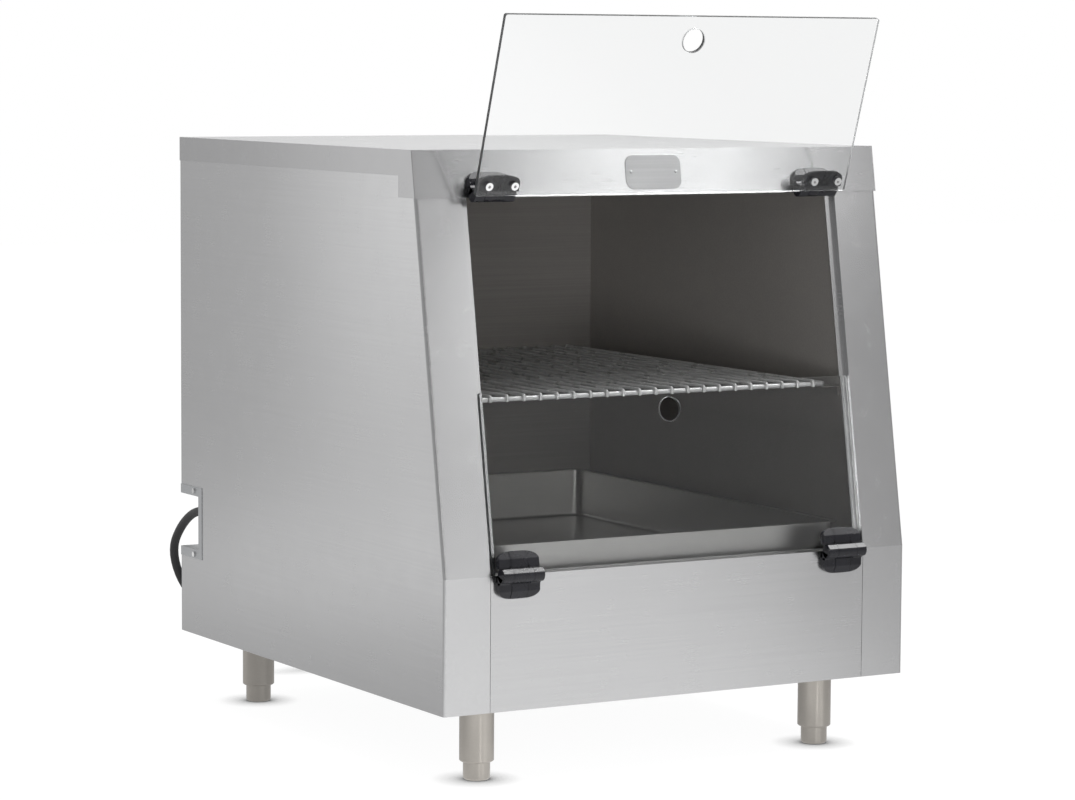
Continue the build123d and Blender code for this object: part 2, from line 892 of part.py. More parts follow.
def make_door_screws(plane):
    """Socket head screws from the inner face of a door into its leaves."""
    inner = -axis_height - door_thickness
    places = [(x, hinge_screw_reach) for x in door_screw_xs]
    with BuildPart() as screws:
        with BuildSketch(plane.offset(inner)):
            with Locations(*places):
                Circle(screw_radius)
        extrude(amount=door_thickness + screw_bite - screw_fit)
        with BuildSketch(plane.offset(inner)):
            with Locations(*places):
                Circle(screw_head_radius)
        extrude(amount=-screw_head_height)
        with BuildSketch(plane.offset(inner - screw_head_height)):
            with Locations(*places):
                RegularPolygon(socket_size / 2, 6, major_radius=False)
        extrude(amount=socket_depth, mode=Mode.SUBTRACT)
    return screws


fixed_face = -axis_height + sheet
upper_fixed = upper_axis_plane
upper_moving = reversed_up(upper_door_plane)
lower_fixed = reversed_up(lower_fixed_plane)
lower_moving = lower_axis_plane
for side, word in ((-1, "left"), (1, "right")):
    finish(make_fixed_leaf(upper_fixed, side, fixed_face), f"upper_{word}_hinge_fixed_leaf")
    finish(make_moving_leaf(upper_moving, side), f"upper_{word}_hinge_moving_leaf")
    finish(make_fixed_leaf(lower_fixed, side, -axis_height), f"lower_{word}_hinge_fixed_leaf")
    finish(make_moving_leaf(lower_moving, side), f"lower_{word}_hinge_moving_leaf")
finish(make_caps(upper_fixed, fixed_face), "upper_hinge_fixed_caps")
finish(make_caps(upper_moving, -axis_height), "upper_hinge_moving_caps")
finish(make_caps(lower_fixed, -axis_height), "lower_hinge_fixed_caps")
finish(make_caps(lower_moving, -axis_height), "lower_hinge_moving_caps")
finish(make_pins(upper_axis_plane), "upper_hinge_pins")
finish(make_pins(lower_axis_plane), "lower_hinge_pins")
finish(make_door_screws(upper_moving), "upper_door_screws")
finish(make_door_screws(lower_moving), "lower_door_screws")

with BuildPart() as hinge_body_screws:
    for plane, face in ((upper_fixed, fixed_face), (lower_fixed, -axis_height)):
        places = [(x, hinge_screw_reach) for x in fixed_screw_xs]
        with BuildSketch(plane.offset(cap_floor - small_head_height)):
            with Locations(*places):
                Circle(small_head_radius)
        extrude(amount=small_head_height)
        with BuildSketch(plane.offset(cap_floor - small_head_height)):
            with Locations(*places):
                Circle(small_screw_radius)
        extrude(amount=face - small_bite - cap_floor + small_head_height)
finish(hinge_body_screws, "hinge_body_screws")

# Legs: a tube welded under a plate, with a bored insert that the foot screws into
tube_bottom = foot_height
plate_bottom = leg_height - plate_thickness
for name, (x, y) in leg_places.items():
    with BuildPart() as leg:
        with BuildSketch(Plane.XY.offset(tube_bottom)):
            with Locations((x, y)):
                Circle(leg_radius)
        extrude(amount=plate_bottom - tube_bottom)
        chamfer(leg.edges().group_by(Axis.Z)[0], length=leg_chamfer)
        with BuildSketch(Plane.XY.offset(tube_bottom + leg_insert_height)):
            with Locations((x, y)):
                Circle(leg_radius - leg_wall)
        extrude(amount=plate_bottom - tube_bottom - leg_insert_height, mode=Mode.SUBTRACT)
        with BuildSketch(Plane.XY.offset(tube_bottom)):
            with Locations((x, y)):
                Circle(foot_stem_radius + foot_fit)
        extrude(amount=leg_insert_height, mode=Mode.SUBTRACT)
        with BuildSketch(Plane.XY.offset(plate_bottom)):
            with Locations((x, y)):
                RectangleRounded(plate_size, plate_size, plate_corner)
                with GridLocations(plate_bolt_spacing, plate_bolt_spacing, 2, 2):
                    Circle(bolt_radius + screw_fit, mode=Mode.SUBTRACT)
        extrude(amount=plate_thickness)
    finish(leg, f"leg_{name}")

    with BuildPart() as foot:
        with BuildSketch():
            with Locations((x, y)):
                Circle(foot_radius)
        extrude(amount=foot_height - foot_fit)
        chamfer(foot.edges().group_by(Axis.Z)[0], length=foot_chamfer)
        with BuildSketch(Plane.XY.offset(foot_height - foot_fit)):
            with Locations((x, y)):
                Circle(foot_stem_radius)
        extrude(amount=foot_stem_top - foot_height + foot_fit)
    finish(foot, f"foot_{name}")

with BuildPart() as leg_plate_bolts:
    with BuildSketch(Plane.XY.offset(plate_bottom)):
        with Locations(*leg_places.values()):
            with GridLocations(plate_bolt_spacing, plate_bolt_spacing, 2, 2):
                RegularPolygon(bolt_head_across / 2, 6, major_radius=False)
    extrude(amount=-bolt_head_height)
    with BuildSketch(Plane.XY.offset(plate_bottom)):
        with Locations(*leg_places.values()):
            with GridLocations(plate_bolt_spacing, plate_bolt_spacing, 2, 2):
                Circle(bolt_radius)
    extrude(amount=plate_thickness + sheet + clinch_nut_height)
finish(leg_plate_bolts, "leg_plate_bolts")

# Cord recess: a sheet pocket with flanges on the outer face of the left side panel
recess_low_z = notch_low_z + recess_fit
recess_high_z = notch_high_z - recess_fit
recess_front_y = notch_front_y + recess_fit
recess_inner_x = left_x + recess_width
flange_x = left_x - recess_sheet
gland_x = left_x + gland_inset_x
gland_z = base_z + gland_height
gland_wall_y = recess_front_y + recess_sheet
with BuildPart() as cord_recess:
    block(flange_x, recess_inner_x, recess_front_y, back_y, recess_low_z, recess_high_z)
    block(
        flange_x - recess_sheet,
        recess_inner_x - recess_sheet,
        gland_wall_y,
        back_y + recess_sheet,
        recess_low_z + recess_sheet,
        recess_high_z - recess_sheet,
        mode=Mode.SUBTRACT,
    )
    block(flange_x, left_x, notch_front_y, back_y, recess_high_z, notch_high_z + recess_flange)
    block(flange_x, left_x, notch_front_y, back_y, notch_low_z - recess_flange, recess_low_z)
    block(
        flange_x,
        left_x,
        notch_front_y - recess_front_flange,
        recess_front_y,
        notch_low_z - recess_flange,
        notch_high_z + recess_flange,
    )
    for z in recess_screw_zs:
        rod(
            (flange_x - sheet, recess_screw_y, z),
            (left_x + sheet, recess_screw_y, z),
            small_screw_radius + screw_fit,
            mode=Mode.SUBTRACT,
        )
    rod(
        (gland_x, recess_front_y - sheet, gland_z),
        (gland_x, gland_wall_y + sheet, gland_z),
        gland_thread_radius + recess_fit,
        mode=Mode.SUBTRACT,
    )
finish(cord_recess, "cord_recess")

with BuildPart() as rear_screws:
    for x, z in rear_screw_places:
        rod((x, back_y - small_bite, z), (x, back_y, z), small_screw_radius)
        rod((x, back_y, z), (x, back_y + small_head_height, z), small_head_radius)
    for z in recess_screw_zs:
        head_x = flange_x - small_head_height
        rod((flange_x, recess_screw_y, z), (left_x + small_bite, recess_screw_y, z), small_screw_radius)
        rod((head_x, recess_screw_y, z), (flange_x, recess_screw_y, z), small_head_radius)
finish(rear_screws, "rear_screws")

# Strain relief: collar and tapered sleeve behind, thread through the wall, nut inside
gland_plane = Plane(origin=(gland_x, gland_wall_y, gland_z), x_dir=(1, 0, 0), z_dir=(0, 1, 0))
with BuildPart() as strain_relief:
    with BuildSketch(gland_plane):
        Circle(gland_collar_radius)
    extrude(amount=gland_collar_length)
    with BuildSketch(gland_plane.offset(gland_collar_length)):
        Circle(gland_base_radius)
    with BuildSketch(gland_plane.offset(gland_length)):
        Circle(gland_tip_radius)
    loft()
    with BuildSketch(gland_plane):
        Circle(gland_thread_radius)
    extrude(amount=-recess_sheet - gland_nut_length)
    with BuildSketch(gland_plane.offset(-recess_sheet)):
        RegularPolygon(gland_collar_radius, 6)
    extrude(amount=-gland_nut_length)
finish(strain_relief, "strain_relief")

# Cord: down behind the body to the floor, then a flat coil of spare length and the plug.
# Route points are measured from the front left corner of the body, at floor level.
cord_route = [
    (gland_inset_x, gland_wall_y + gland_length - front_y, gland_z),
    (35.0, 822.0, gland_z),
    (35.0, 880.0, 250.0),
    (35.0, 921.0, 204.0),
    (60.0, 931.0, 143.0),
    (115.0, 938.0, 98.0),
    (210.0, 940.0, 47.0),
    (330.0, 942.0, cord_radius),
    (405.0, 942.0, cord_radius),
]
cord_points = [Vector(left_x + x, front_y + y, z) for x, y, z in cord_route]


def corner_radii(points):
    """Bend radii that use the same share of the shorter run beside each corner."""
    radii = []
    for before, here, after in zip(points, points[1:], points[2:]):
        run_in = here - before
        run_out = after - here
        half_turn = math.radians(run_in.get_angle(run_out) / 2)
        shorter = min(run_in.length, run_out.length)
        radii.append(corner_share * shorter / math.tan(half_turn))
    return radii


def report_sweep(name, piece, length):
    """Compare a swept solid with its section times its length."""
    expected = math.pi * cord_radius**2 * length
    print(name, "length", round(length, 1), "volume ratio", round(piece.part.volume / expected, 4))


cord_radii = corner_radii(cord_points)
print("cord bend radii", [round(r, 1) for r in cord_radii])
with BuildPart() as power_cord:
    with BuildLine() as cord_line:
        FilletPolyline(*cord_points, radius=cord_radii)
    with BuildSketch(Plane(origin=cord_points[0], z_dir=cord_points[1] - cord_points[0])):
        Circle(cord_radius)
    sweep()
report_sweep("power_cord", power_cord, cord_line.wire().length)
finish(power_cord, "power_cord")

# Coil: two turns inward on the floor, half a turn up, then outward on the second layer
coil_x = cord_points[-1].X + coil_lead_in
coil_y = cord_points[-1].Y
floor_layer = cord_radius
top_layer = cord_radius + coil_pitch
outer_radius = coil_mid_radius + coil_pitch / 4
inner_radius = outer_radius - coil_pitch / 2
climb_radius = inner_radius - coil_pitch / 2
far_y = coil_y + 2 * outer_radius
near_y = coil_y + coil_pitch
climb_end_y = near_y + 2 * climb_radius
coil_stops = [
    Vector(coil_x, far_y, floor_layer),
    Vector(coil_x, near_y, floor_layer),
    Vector(coil_x, climb_end_y, top_layer),
    Vector(coil_x, coil_y, top_layer),
    Vector(coil_x, far_y, top_layer),
    Vector(coil_x, coil_y - coil_pitch, top_layer),
]
with BuildPart() as cord_coil:
    with BuildLine() as coil_line:
        here = Vector(coil_x, coil_y, floor_layer)
        heading = Vector(1, 0, 0)
        Line(cord_points[-1], here)
        for stop in coil_stops:
            TangentArc(here, stop, tangent=heading)
            here = stop
            heading = -heading
        coil_end = here + coil_lead_out * Vector(1, 0, 0)
        Line(here, coil_end)
    with BuildSketch(Plane(origin=cord_points[-1], z_dir=(1, 0, 0))):
        Circle(cord_radius)
    sweep()
coil_length = coil_line.wire().length
report_sweep("cord_coil", cord_coil, coil_length)
finish(cord_coil, "cord_coil")

coil_samples = 300
coil_wire = coil_line.wire()
coil_path = [tuple(coil_wire.position_at(n / coil_samples)) for n in range(coil_samples + 1)]
apart = int(coil_samples * math.pi * climb_radius / 2 / coil_length)
nearest = min(
    math.dist(one, other)
    for n, one in enumerate(coil_path)
    for other in coil_path[n + apart :]
)
print("least gap of the coil to itself", round(nearest - 2 * cord_radius, 2))

# Plug: moulded relief and body, two blades and a round ground pin
plug_plane = Plane(origin=coil_end, x_dir=(0, 1, 0), z_dir=(1, 0, 0))
plug_face = plug_relief_length + plug_length
with BuildPart() as plug:
    with BuildSketch(plug_plane):
        Circle(plug_relief_radius)
    with BuildSketch(plug_plane.offset(plug_relief_length)):
        Circle(plug_radius - plug_edge)
    loft()
    with BuildSketch(plug_plane.offset(plug_relief_length)):
        Circle(plug_radius)
    extrude(amount=plug_length)
    chamfer(plug.edges().group_by(Axis.X)[-1], length=plug_edge / 2)
    with BuildSketch(plug_plane.offset(plug_face)):
        with GridLocations(blade_spacing, 0, 2, 1):
            Rectangle(blade_thickness, blade_width)
    extrude(amount=blade_length)
    with BuildSketch(plug_plane.offset(plug_face)):
        with Locations((0, ground_pin_offset)):
            Circle(ground_pin_radius)
    extrude(amount=ground_pin_length)
finish(plug, "plug")

# Heater: a tubular element laid in rows, on two notched brackets that stand on the base
element_z = base_z + element_height
first_row = front_y + element_front
row_ys = [first_row + n * element_pitch for n in range(element_rows)]
with BuildPart() as heating_element:
    with BuildLine():
        here = Vector(-element_reach_x, first_row, element_z)
        heading = Vector(1, 0, 0)
        for y in row_ys:
            row_end = Vector(heading.X * element_reach_x, y, element_z)
            Line(here, row_end)
            if y != row_ys[-1]:
                here = row_end + Vector(0, element_pitch, 0)
                TangentArc(row_end, here, tangent=heading)
                heading = -heading
    start = Vector(-element_reach_x, first_row, element_z)
    with BuildSketch(Plane(origin=start, z_dir=(1, 0, 0))):
        Circle(element_radius)
    sweep()
finish(heating_element, "heating_element")

bracket_top = element_z + bracket_rise
bracket_front = first_row - bracket_overhang
bracket_back = row_ys[-1] + bracket_overhang
tray_floor = base_z + sheet
with BuildPart() as element_brackets:
    for side in (-1, 1):
        x = side * bracket_x
        web = x + side * bracket_sheet
        foot_end = x + side * bracket_foot
        block(x, web, bracket_front, bracket_back, tray_floor, bracket_top)
        block(x, foot_end, bracket_front, bracket_back, tray_floor, tray_floor + bracket_sheet)
        for y in row_ys:
            slot = element_radius + element_fit
            rod((x - side, y, element_z), (web + side, y, element_z), slot, mode=Mode.SUBTRACT)
            block(x, web, y - slot, y + slot, element_z, bracket_top, mode=Mode.SUBTRACT)
finish(element_brackets, "element_brackets")

# Thermostat: body on the back panel, capillary and sensing bulb under the liner floor
inner_back = back_y - sheet
thermostat_y = inner_back - thermostat_depth / 2
bulb_z = floor_z - liner_sheet - bulb_radius - bulb_gap
bulb_y = back_y - bulb_setback
with BuildPart() as thermostat:
    block(
        control_x - thermostat_width / 2,
        control_x + thermostat_width / 2,
        inner_back - thermostat_depth,
        inner_back,
        control_z - thermostat_height / 2,
        control_z + thermostat_height / 2,
    )
    rod(
        (control_x, inner_back - shaft_length - pin_recess, control_z),
        (control_x, back_y, control_z),
        shaft_radius + pin_fit,
        mode=Mode.SUBTRACT,
    )
    rod(
        (control_x, thermostat_y, control_z + shaft_length),
        (control_x, thermostat_y, bulb_z),
        capillary_radius,
    )
    with Locations((control_x, thermostat_y, bulb_z)):
        Sphere(capillary_radius)
    rod((control_x, thermostat_y, bulb_z), (control_x, bulb_y, bulb_z), capillary_radius)
    rod((control_x, bulb_y, bulb_z), (control_x, bulb_y - bulb_length, bulb_z), bulb_radius)
finish(thermostat, "thermostat")

knob_low = back_y + knob_gap
with BuildPart() as thermostat_knob:
    rod(
        (control_x, inner_back - shaft_length, control_z),
        (control_x, knob_low, control_z),
        shaft_radius,
    )
    rod((control_x, knob_low, control_z), (control_x, knob_low + knob_height, control_z), knob_radius)
    chamfer(thermostat_knob.edges().group_by(Axis.Y)[-1], length=knob_edge)
    block(
        control_x - knob_mark_width / 2,
        control_x + knob_mark_width / 2,
        knob_low + knob_height - knob_mark_depth,
        knob_low + knob_height,
        control_z,
        control_z + knob_radius,
        mode=Mode.SUBTRACT,
    )
finish(thermostat_knob, "thermostat_knob")

# Switch: a framed body in the back panel with a rocker in its pocket
pocket_half = rocker_half_height + rocker_gap
with BuildPart() as power_switch:
    block(
        switch_x - switch_width / 2,
        switch_x + switch_width / 2,
        back_y,
        back_y + switch_bezel,
        control_z - switch_height / 2,
        control_z + switch_height / 2,
    )
    block(
        switch_x - switch_width / 2 + switch_frame + screw_fit,
        switch_x + switch_width / 2 - switch_frame - screw_fit,
        back_y - switch_depth,
        back_y,
        control_z - switch_height / 2 + switch_frame + screw_fit,
        control_z + switch_height / 2 - switch_frame - screw_fit,
    )
    block(
        switch_x - rocker_width / 2 - rocker_gap,
        switch_x + rocker_width / 2 + rocker_gap,
        back_y - rocker_half_height - rocker_gap,
        back_y + switch_bezel,
        control_z - pocket_half,
        control_z + pocket_half,
        mode=Mode.SUBTRACT,
    )
finish(power_switch, "power_switch")

rocker_plane = Plane(
    origin=(switch_x - rocker_width / 2, back_y, control_z), x_dir=(0, 1, 0), z_dir=(1, 0, 0)
)
with BuildPart() as switch_rocker:
    with BuildSketch(rocker_plane.rotated((0, 0, rocker_degrees))):
        with BuildLine():
            Polyline(
                (rocker_rise, -rocker_half_height),
                (rocker_dip, 0),
                (rocker_rise, rocker_half_height),
                (-rocker_rise, rocker_root),
                (-rocker_rise, -rocker_root),
                close=True,
            )
        make_face()
    extrude(amount=rocker_width)
finish(switch_rocker, "switch_rocker")

# Terminal block on the base, near the gland
terminal_x = left_x + terminal_inset
terminal_y = back_y - terminal_setback
terminal_top = tray_floor + terminal_height
with BuildPart() as terminal_block:
    block(
        terminal_x - terminal_width / 2,
        terminal_x + terminal_width / 2,
        terminal_y - terminal_depth / 2,
        terminal_y + terminal_depth / 2,
        tray_floor,
        terminal_top,
    )
    with BuildSketch(Plane.XY.offset(terminal_top)):
        with Locations((terminal_x, terminal_y)):
            with GridLocations(terminal_pitch, 0, terminal_screws, 1):
                Circle(terminal_hole_radius)
    extrude(amount=-terminal_hole_depth, mode=Mode.SUBTRACT)
finish(terminal_block, "terminal_block")
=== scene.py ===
import json
import math

import bmesh
import bpy
from mathutils import Matrix, Vector


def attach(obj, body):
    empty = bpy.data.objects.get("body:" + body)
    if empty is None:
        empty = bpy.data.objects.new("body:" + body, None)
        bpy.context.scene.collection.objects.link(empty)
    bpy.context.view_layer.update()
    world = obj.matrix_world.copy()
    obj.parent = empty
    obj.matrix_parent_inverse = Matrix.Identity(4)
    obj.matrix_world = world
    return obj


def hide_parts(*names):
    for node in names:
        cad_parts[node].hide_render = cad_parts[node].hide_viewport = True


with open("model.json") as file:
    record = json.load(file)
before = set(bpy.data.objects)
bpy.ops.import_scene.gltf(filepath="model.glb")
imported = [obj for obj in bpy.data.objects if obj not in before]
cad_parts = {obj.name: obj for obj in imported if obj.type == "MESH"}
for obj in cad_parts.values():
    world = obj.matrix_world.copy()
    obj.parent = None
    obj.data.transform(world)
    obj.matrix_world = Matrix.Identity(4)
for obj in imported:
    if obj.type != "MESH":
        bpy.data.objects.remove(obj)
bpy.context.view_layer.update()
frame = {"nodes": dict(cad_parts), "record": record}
nodes = frame["nodes"]
scene = bpy.context.scene

# Lengths are in metres. x runs to the right, y to the back and z up.


# Shared helpers
def new_material(name):
    """A node material with its tree and its principled shader."""
    mat = bpy.data.materials.new(name)
    mat.use_nodes = True
    tree = mat.node_tree
    shader = tree.nodes["Principled BSDF"]
    return mat, tree, shader


def add_node(tree, kind, values=None, **settings):
    """One shader node with its settings and input values."""
    node = tree.nodes.new(kind)
    for key, value in settings.items():
        setattr(node, key, value)
    for key, value in (values or {}).items():
        node.inputs[key].default_value = value
    return node


def feed(tree, socket, value):
    """Give an input another node's output to follow, or a number or colour of its own."""
    if hasattr(value, "is_linked"):
        tree.links.new(value, socket)
    elif isinstance(value, (int, float)):
        socket.default_value = value
    else:
        socket.default_value = (*value, 1.0)


def calculate(tree, operation, *values, **settings):
    """The result of a math operation on numbers and sockets."""
    node = add_node(tree, "ShaderNodeMath", operation=operation, **settings)
    for socket, value in zip(node.inputs, values):
        feed(tree, socket, value)
    return node.outputs[0]


def compare_vectors(tree, operation, vector, other):
    """One number from a vector and a constant one, such as their distance."""
    node = add_node(tree, "ShaderNodeVectorMath", {1: other}, operation=operation)
    tree.links.new(vector, node.inputs[0])
    return node.outputs["Value"]


def span(tree, value, low, high):
    """A value mapped to 0 at low and 1 at high."""
    node = add_node(
        tree,
        "ShaderNodeMapRange",
        {"From Min": low, "From Max": high, "To Min": 0.0, "To Max": 1.0},
    )
    tree.links.new(value, node.inputs["Value"])
    return node.outputs["Result"]


def grey(level):
    """A neutral colour."""
    return (level, level, level)


def object_coords(tree, scale):
    """Object coordinates stretched by a scale, for grain that runs along one axis."""
    coords = add_node(tree, "ShaderNodeTexCoord")
    mapping = add_node(tree, "ShaderNodeMapping", {"Scale": scale})
    tree.links.new(coords.outputs["Object"], mapping.inputs["Vector"])
    return mapping.outputs["Vector"]


def ramp(tree, factor, stops):
    """A colour ramp with (place, colour) stops."""
    node = add_node(tree, "ShaderNodeValToRGB")
    elements = node.color_ramp.elements
    while len(elements) < len(stops):
        elements.new(0.5)
    for element, (place, colour) in zip(elements, stops):
        element.position = place
        element.color = (*colour, 1.0)
    tree.links.new(factor, node.inputs["Fac"])
    return node.outputs["Color"]


def noise(tree, vector, scale, detail=3.0, roughness=0.5):
    """Noise from 0 to 1 at a number of cells to the metre."""
    node = add_node(
        tree, "ShaderNodeTexNoise", {"Scale": scale, "Detail": detail, "Roughness": roughness}
    )
    tree.links.new(vector, node.inputs["Vector"])
    return node.outputs["Fac"]


# Nearly all of a noise's values lie between these
noise_low, noise_high = 0.3, 0.7


def spread(tree, factor, low, high):
    """A noise value mapped to the range low to high."""
    node = add_node(
        tree,
        "ShaderNodeMapRange",
        {"From Min": noise_low, "From Max": noise_high, "To Min": low, "To Max": high},
    )
    tree.links.new(factor, node.inputs["Value"])
    return node.outputs["Result"]


def bump(tree, shader, height, strength, distance):
    """Surface relief from a height of 0 to 1, as deep as the distance."""
    node = add_node(tree, "ShaderNodeBump", {"Strength": strength, "Distance": distance})
    tree.links.new(height, node.inputs["Height"])
    tree.links.new(node.outputs["Normal"], shader.inputs["Normal"])


def mixed(tree, factor, one, two, blend="MIX"):
    """Two colours mixed by a factor, which may be a number or a socket."""
    node = add_node(tree, "ShaderNodeMix", data_type="RGBA", blend_type=blend)
    for number, value in ((0, factor), (6, one), (7, two)):
        feed(tree, node.inputs[number], value)
    return node.outputs[2]


# Cells to the metre of the brushed grain and of its wider streaks, across and along them
grain_across, grain_along = 2600.0, 22.0
streaks_across, streaks_along = 420.0, 4.0
grain_depth = 0.00003

# Highlights stretch along the tangent, so it lies across the grain, or up a round leg
tangents = {"x": (0.0, 0.5, 1.0), "y": (0.5, 0.0, 1.0), "round": (0.05, 0.03, 1.0)}


def brushed_steel(
    name, colour, along, rough, contrast=0.012, metallic=1.0, aniso=0.0, turn=None
):
    """Sheet metal with fine grain along one axis, slow cloudiness and faint handling marks."""
    mat, tree, shader = new_material(name)
    fine = [grain_across] * 3
    fine["xyz".index(along)] = grain_along
    coarse = [streaks_across] * 3
    coarse["xyz".index(along)] = streaks_along
    plain = object_coords(tree, (1.0, 1.0, 1.0))
    grain = noise(tree, object_coords(tree, fine), 1.0, 2.0)
    streaks = noise(tree, object_coords(tree, coarse), 1.0, 3.0)
    clouds = noise(tree, plain, 5.0, 3.0)
    marks = noise(tree, plain, 30.0, 2.0)
    dark = tuple(c * (1 - contrast) for c in colour)
    light = tuple(min(1.0, c * (1 + contrast)) for c in colour)
    base = ramp(tree, streaks, ((0.35, dark), (0.65, light)))
    cloudy = ramp(tree, clouds, ((noise_low, grey(0.975)), (noise_high, grey(1.0))))
    base = mixed(tree, 1.0, base, cloudy, "MULTIPLY")
    tree.links.new(base, shader.inputs["Base Color"])
    shader.inputs["Metallic"].default_value = metallic
    marked = spread(tree, marks, *rough)
    uneven = calculate(tree, "ADD", marked, spread(tree, grain, -0.01, 0.01))
    tree.links.new(uneven, shader.inputs["Roughness"])
    bump(tree, shader, grain, 0.02, grain_depth)
    if aniso:
        shader.inputs["Anisotropic"].default_value = aniso
        line = tangents[turn or along]
        tangent = add_node(tree, "ShaderNodeCombineXYZ", dict(enumerate(line)))
        tree.links.new(tangent.outputs[0], shader.inputs["Tangent"])
    return mat


def painted_shade_along(mat, output, axis, low, high, shade_tones):
    """Painted shade: base colour multiplied by a tone that changes along the object's normal or
    position.
    """
    tree = mat.node_tree
    shader = tree.nodes["Principled BSDF"]
    coords = add_node(tree, "ShaderNodeTexCoord")
    size = add_node(tree, "ShaderNodeVectorMath", operation="ABSOLUTE")
    tree.links.new(coords.outputs[output], size.inputs[0])
    along = compare_vectors(tree, "DOT_PRODUCT", size.outputs[0], axis)
    part = span(tree, along, low, high)
    tone = ramp(tree, part, ((0.0, grey(shade_tones[0])), (1.0, grey(shade_tones[1]))))
    base = shader.inputs["Base Color"].links[0].from_socket
    tree.links.new(mixed(tree, 1.0, base, tone, "MULTIPLY"), shader.inputs["Base Color"])


speckle_depth = 0.0002


def moulded(name, colour, rough=(0.35, 0.5), speckle=900.0, strength=0.25):
    """Moulded plastic or rubber with a fine surface texture and slow tone changes."""
    mat, tree, shader = new_material(name)
    plain = object_coords(tree, (1.0, 1.0, 1.0))
    slow = noise(tree, plain, 40.0, 3.0)
    fine = noise(tree, plain, speckle, 2.0)
    lighter = tuple(c * 1.35 for c in colour)
    base = ramp(tree, slow, ((0.35, colour), (0.75, lighter)))
    tree.links.new(base, shader.inputs["Base Color"])
    tree.links.new(spread(tree, slow, *rough), shader.inputs["Roughness"])
    bump(tree, shader, fine, strength, speckle_depth)
    return mat


def set_material(obj, mat):
    """Give an object one material in place of what it had."""
    obj.data.materials.clear()
    obj.data.materials.append(mat)


def round_edges(obj, width, angle):
    """Smooth shading, and rounded edges where faces meet at more than an angle in degrees."""
    for polygon in obj.data.polygons:
        polygon.use_smooth = True
    edges = obj.modifiers.new("edges", "BEVEL")
    edges.width = width
    edges.segments = 3
    edges.limit_method = "ANGLE"
    edges.angle_limit = math.radians(angle)
    edges.harden_normals = True


# Camera, fitted to corners of the cabinet in the photograph
camera_place = Vector((-2.5599, -4.4371, 0.9533))
azimuth = math.radians(30.247)
pitch = math.radians(5.49)
roll = 0.00643  # radians
forward = Vector(
    (
        math.sin(azimuth) * math.cos(pitch),
        math.cos(azimuth) * math.cos(pitch),
        -math.sin(pitch),
    )
)
level = Vector((math.cos(azimuth), -math.sin(azimuth), 0.0))
upward = level.cross(forward)
across = math.cos(roll) * level + math.sin(roll) * upward
upright = -math.sin(roll) * level + math.cos(roll) * upward
camera_data = bpy.data.cameras.new("camera")
camera_data.sensor_width = 36.0
camera_data.lens = 121.59
camera_data.shift_x = -0.0106
camera_data.clip_end = 100.0
camera = bpy.data.objects.new("camera", camera_data)
camera.matrix_world = Matrix(
    (
        (across.x, upright.x, -forward.x, camera_place.x),
        (across.y, upright.y, -forward.y, camera_place.y),
        (across.z, upright.z, -forward.z, camera_place.z),
        (0.0, 0.0, 0.0, 1.0),
    )
)
scene.collection.objects.link(camera)
scene.camera = camera
scene.view_settings.view_transform = "Standard"

# Cord: the route from the gland to the floor, then the coil of spare length
cord_radius = 0.0065
cord_route = [
    (-0.325, 0.37555, 0.2776),
    (-0.325, 0.42025, 0.2776),
    (-0.325, 0.47825, 0.2500),
    (-0.325, 0.51925, 0.2040),
    (-0.300, 0.52925, 0.1430),
    (-0.245, 0.53625, 0.0980),
    (-0.150, 0.53825, 0.0470),
    (-0.030, 0.54025, cord_radius),
    (0.045, 0.54025, cord_radius),
]
coil_start = Vector((0.058, 0.54025, cord_radius))
coil_pitch = 0.0142
coil_outer = 0.066 + coil_pitch / 4  # radius of its widest half turns
coil_turns = [  # radius and rise of each half turn
    (coil_outer, 0.0),
    (coil_outer - coil_pitch / 2, 0.0),
    (coil_outer - coil_pitch, coil_pitch),
    (coil_outer - coil_pitch / 2, 0.0),
    (coil_outer, 0.0),
    (coil_outer + coil_pitch / 2, 0.0),
]
plug_lead = 0.072
points_per_half = 6
cord_points = list(cord_route)
near = coil_start.copy()
side = 1.0
for radius, rise in coil_turns:
    centre = near + Vector((0.0, side * radius, 0.0))
    reach = radius / math.cos(math.pi / (2 * points_per_half))
    for n in range(points_per_half):
        angle = math.pi * (n + 0.5) / points_per_half
        y = centre.y - side * reach * math.cos(angle)
        climb = rise * (y - near.y) / (2 * side * radius)
        cord_points.append((centre.x + side * reach * math.sin(angle), y, near.z + climb))
    near += Vector((0.0, 2 * side * radius, rise))
    side = -side
cord_end = near + Vector((plug_lead, 0.0, 0.0))
cord_points.append(tuple(cord_end))

curve = bpy.data.curves.new("mains_cord", "CURVE")
curve.dimensions = "3D"
curve.bevel_depth = cord_radius
curve.bevel_resolution = 6
curve.resolution_u = 6
curve.use_fill_caps = True
spline = curve.splines.new("NURBS")
spline.points.add(len(cord_points) - 1)
for point, place in zip(spline.points, cord_points):
    point.co = (*place, 1.0)
spline.order_u = 3
spline.use_endpoint_u = True
cord = bpy.data.objects.new("mains_cord", curve)
scene.collection.objects.link(cord)
rubber = moulded("cord_rubber", (0.017, 0.017, 0.018), (0.42, 0.55), 1500.0, 0.15)
cord.data.materials.append(rubber)
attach(cord, "body")
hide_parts("power_cord", "cord_coil")

